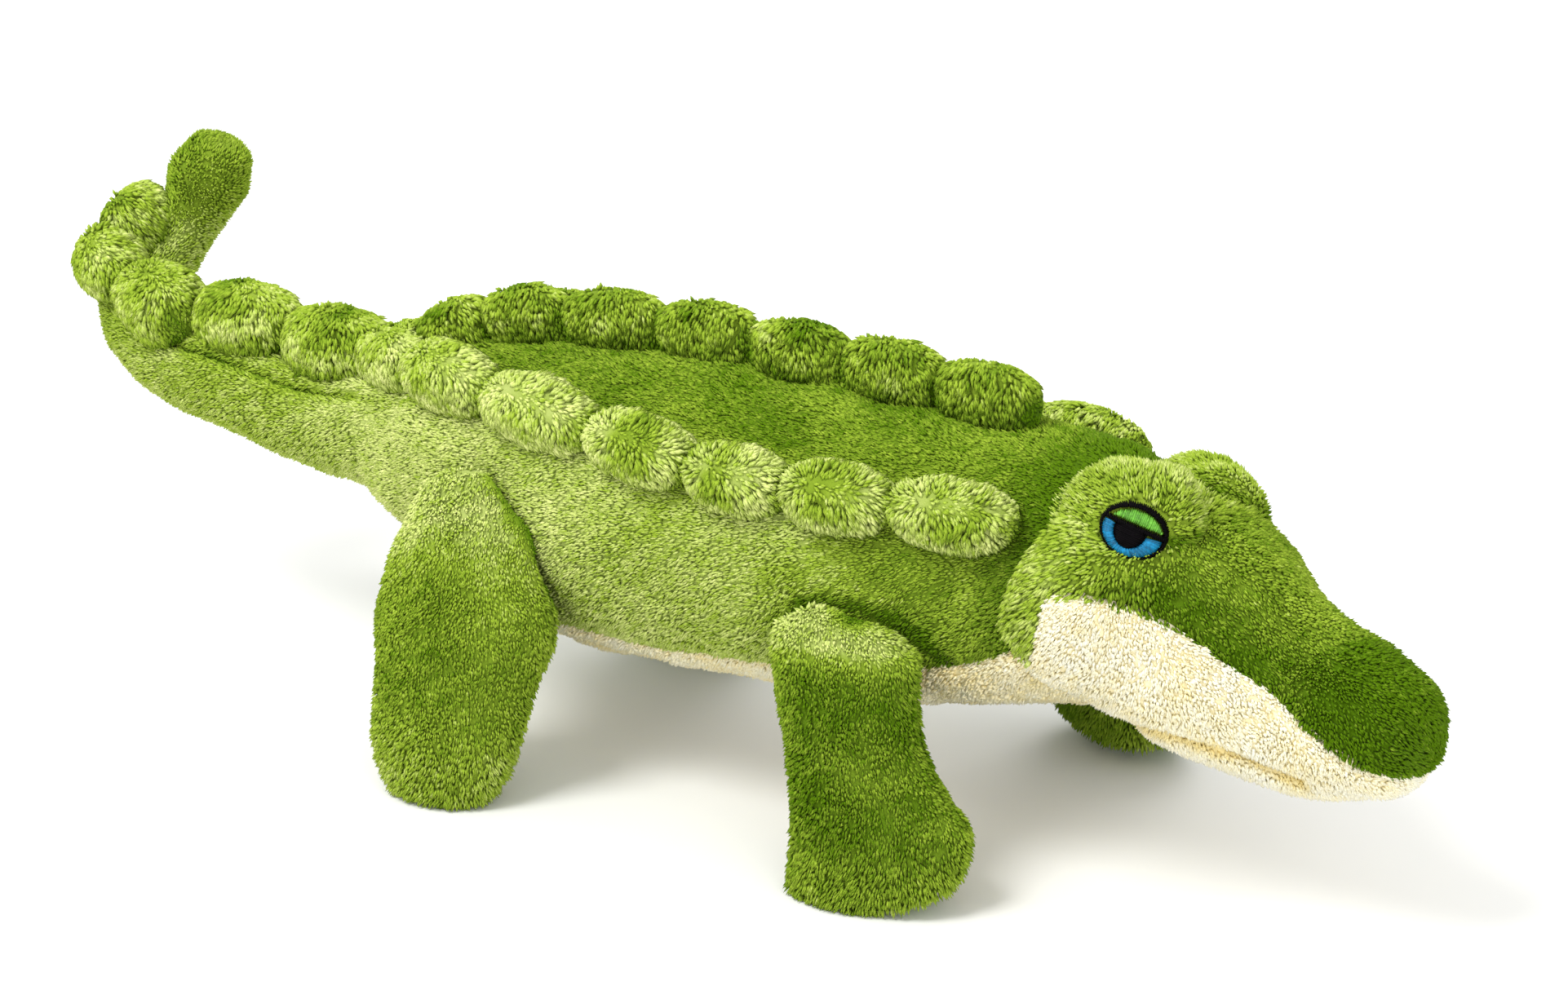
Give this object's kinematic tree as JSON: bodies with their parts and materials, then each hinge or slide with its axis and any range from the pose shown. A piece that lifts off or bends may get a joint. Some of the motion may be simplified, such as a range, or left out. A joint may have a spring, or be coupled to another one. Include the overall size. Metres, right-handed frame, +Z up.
{
  "type": "plush crocodile",
  "caption": "Stuffed plush crocodile standing on short legs, with rows of stuffed fur scutes along its back, raised embroidered eyes and a tail that curls up.",
  "frame": {"origin": "centre of the bounding box at floor level, between the feet", "axes": "+X towards the snout, +Y towards the animal's left side, +Z up"},
  "size_m": [0.3942, 0.1348, 0.1232],
  "materials": {
    "green_pile": "short-pile plush, two-tone nap",
    "dark_pile": "short-pile plush, darker nap",
    "long_pile": "long-pile plush",
    "cream_pile": "short-pile plush, cream",
    "fibre_fill": "loose polyester fibre filling",
    "black_thread": "satin-stitch embroidery",
    "blue_thread": "satin-stitch embroidery",
    "green_thread": "satin-stitch embroidery"
  },
  "bodies": {
    "torso": {"torso_skin": "green_pile", "belly_panel": "cream_pile", "torso_stuffing": "fibre_fill", "spine_ridge": "long_pile", "spine_ridge_stuffing": "fibre_fill", "flank_ridge_left": "long_pile", "flank_ridge_left_stuffing": "fibre_fill", "flank_ridge_right": "long_pile", "flank_ridge_right_stuffing": "fibre_fill"},
    "head": {"crown_skin": "green_pile", "jaw_panel": "cream_pile", "head_stuffing": "fibre_fill", "eye_mound_left": "dark_pile", "eye_outline_left": "black_thread", "iris_left": "blue_thread", "pupil_left": "black_thread", "eyelid_left": "green_thread", "eye_mound_right": "dark_pile", "eye_outline_right": "black_thread", "iris_right": "blue_thread", "pupil_right": "black_thread", "eyelid_right": "green_thread"},
    "tail": {"tail_skin": "green_pile", "tail_stuffing": "fibre_fill", "tail_ridge": "long_pile", "tail_ridge_stuffing": "fibre_fill"},
    "tail_tip": {"tail_tip_skin": "green_pile", "tail_tip_stuffing": "fibre_fill", "tail_tip_ridge": "long_pile", "tail_tip_ridge_stuffing": "fibre_fill"},
    "front_leg_left": {"front_leg_skin_left": "dark_pile", "front_leg_stuffing_left": "fibre_fill"},
    "hind_leg_left": {"hind_leg_skin_left": "dark_pile", "hind_leg_stuffing_left": "fibre_fill"},
    "front_leg_right": {"front_leg_skin_right": "dark_pile", "front_leg_stuffing_right": "fibre_fill"},
    "hind_leg_right": {"hind_leg_skin_right": "dark_pile", "hind_leg_stuffing_right": "fibre_fill"}
  },
  "joints": [
    {"name": "neck_turn", "type": "hinge", "parent": "torso", "child": "head", "pos_m": [0.0974, 0, 0.062], "axis": [0, 0, 1], "range_deg": [-12, 12], "stiffness_Nm_per_rad": 0.45},
    {"name": "tail_root_bend", "type": "hinge", "parent": "torso", "child": "tail", "pos_m": [-0.0886, 0, 0.062], "axis": [0, 0, 1], "range_deg": [-20, 20], "stiffness_Nm_per_rad": 0.3},
    {"name": "tail_tip_bend", "type": "hinge", "parent": "tail", "child": "tail_tip", "pos_m": [-0.14834, 0.00087, 0.06851], "axis": [0, 0, 1], "range_deg": [-25, 25], "stiffness_Nm_per_rad": 0.15},
    {"name": "front_leg_left_bend", "type": "hinge", "parent": "torso", "child": "front_leg_left", "pos_m": [0.0784, 0.045, 0.052], "axis": [0, 1, 0], "range_deg": [-16, 16], "stiffness_Nm_per_rad": 0.4},
    {"name": "hind_leg_left_bend", "type": "hinge", "parent": "torso", "child": "hind_leg_left", "pos_m": [-0.0346, 0.045, 0.056], "axis": [0, 1, 0], "range_deg": [-16, 16], "stiffness_Nm_per_rad": 0.4},
    {"name": "front_leg_right_bend", "type": "hinge", "parent": "torso", "child": "front_leg_right", "pos_m": [0.0784, -0.045, 0.052], "axis": [0, 1, 0], "range_deg": [-16, 16], "stiffness_Nm_per_rad": 0.4},
    {"name": "hind_leg_right_bend", "type": "hinge", "parent": "torso", "child": "hind_leg_right", "pos_m": [-0.0346, -0.045, 0.056], "axis": [0, 1, 0], "range_deg": [-16, 16], "stiffness_Nm_per_rad": 0.4}
  ]
}
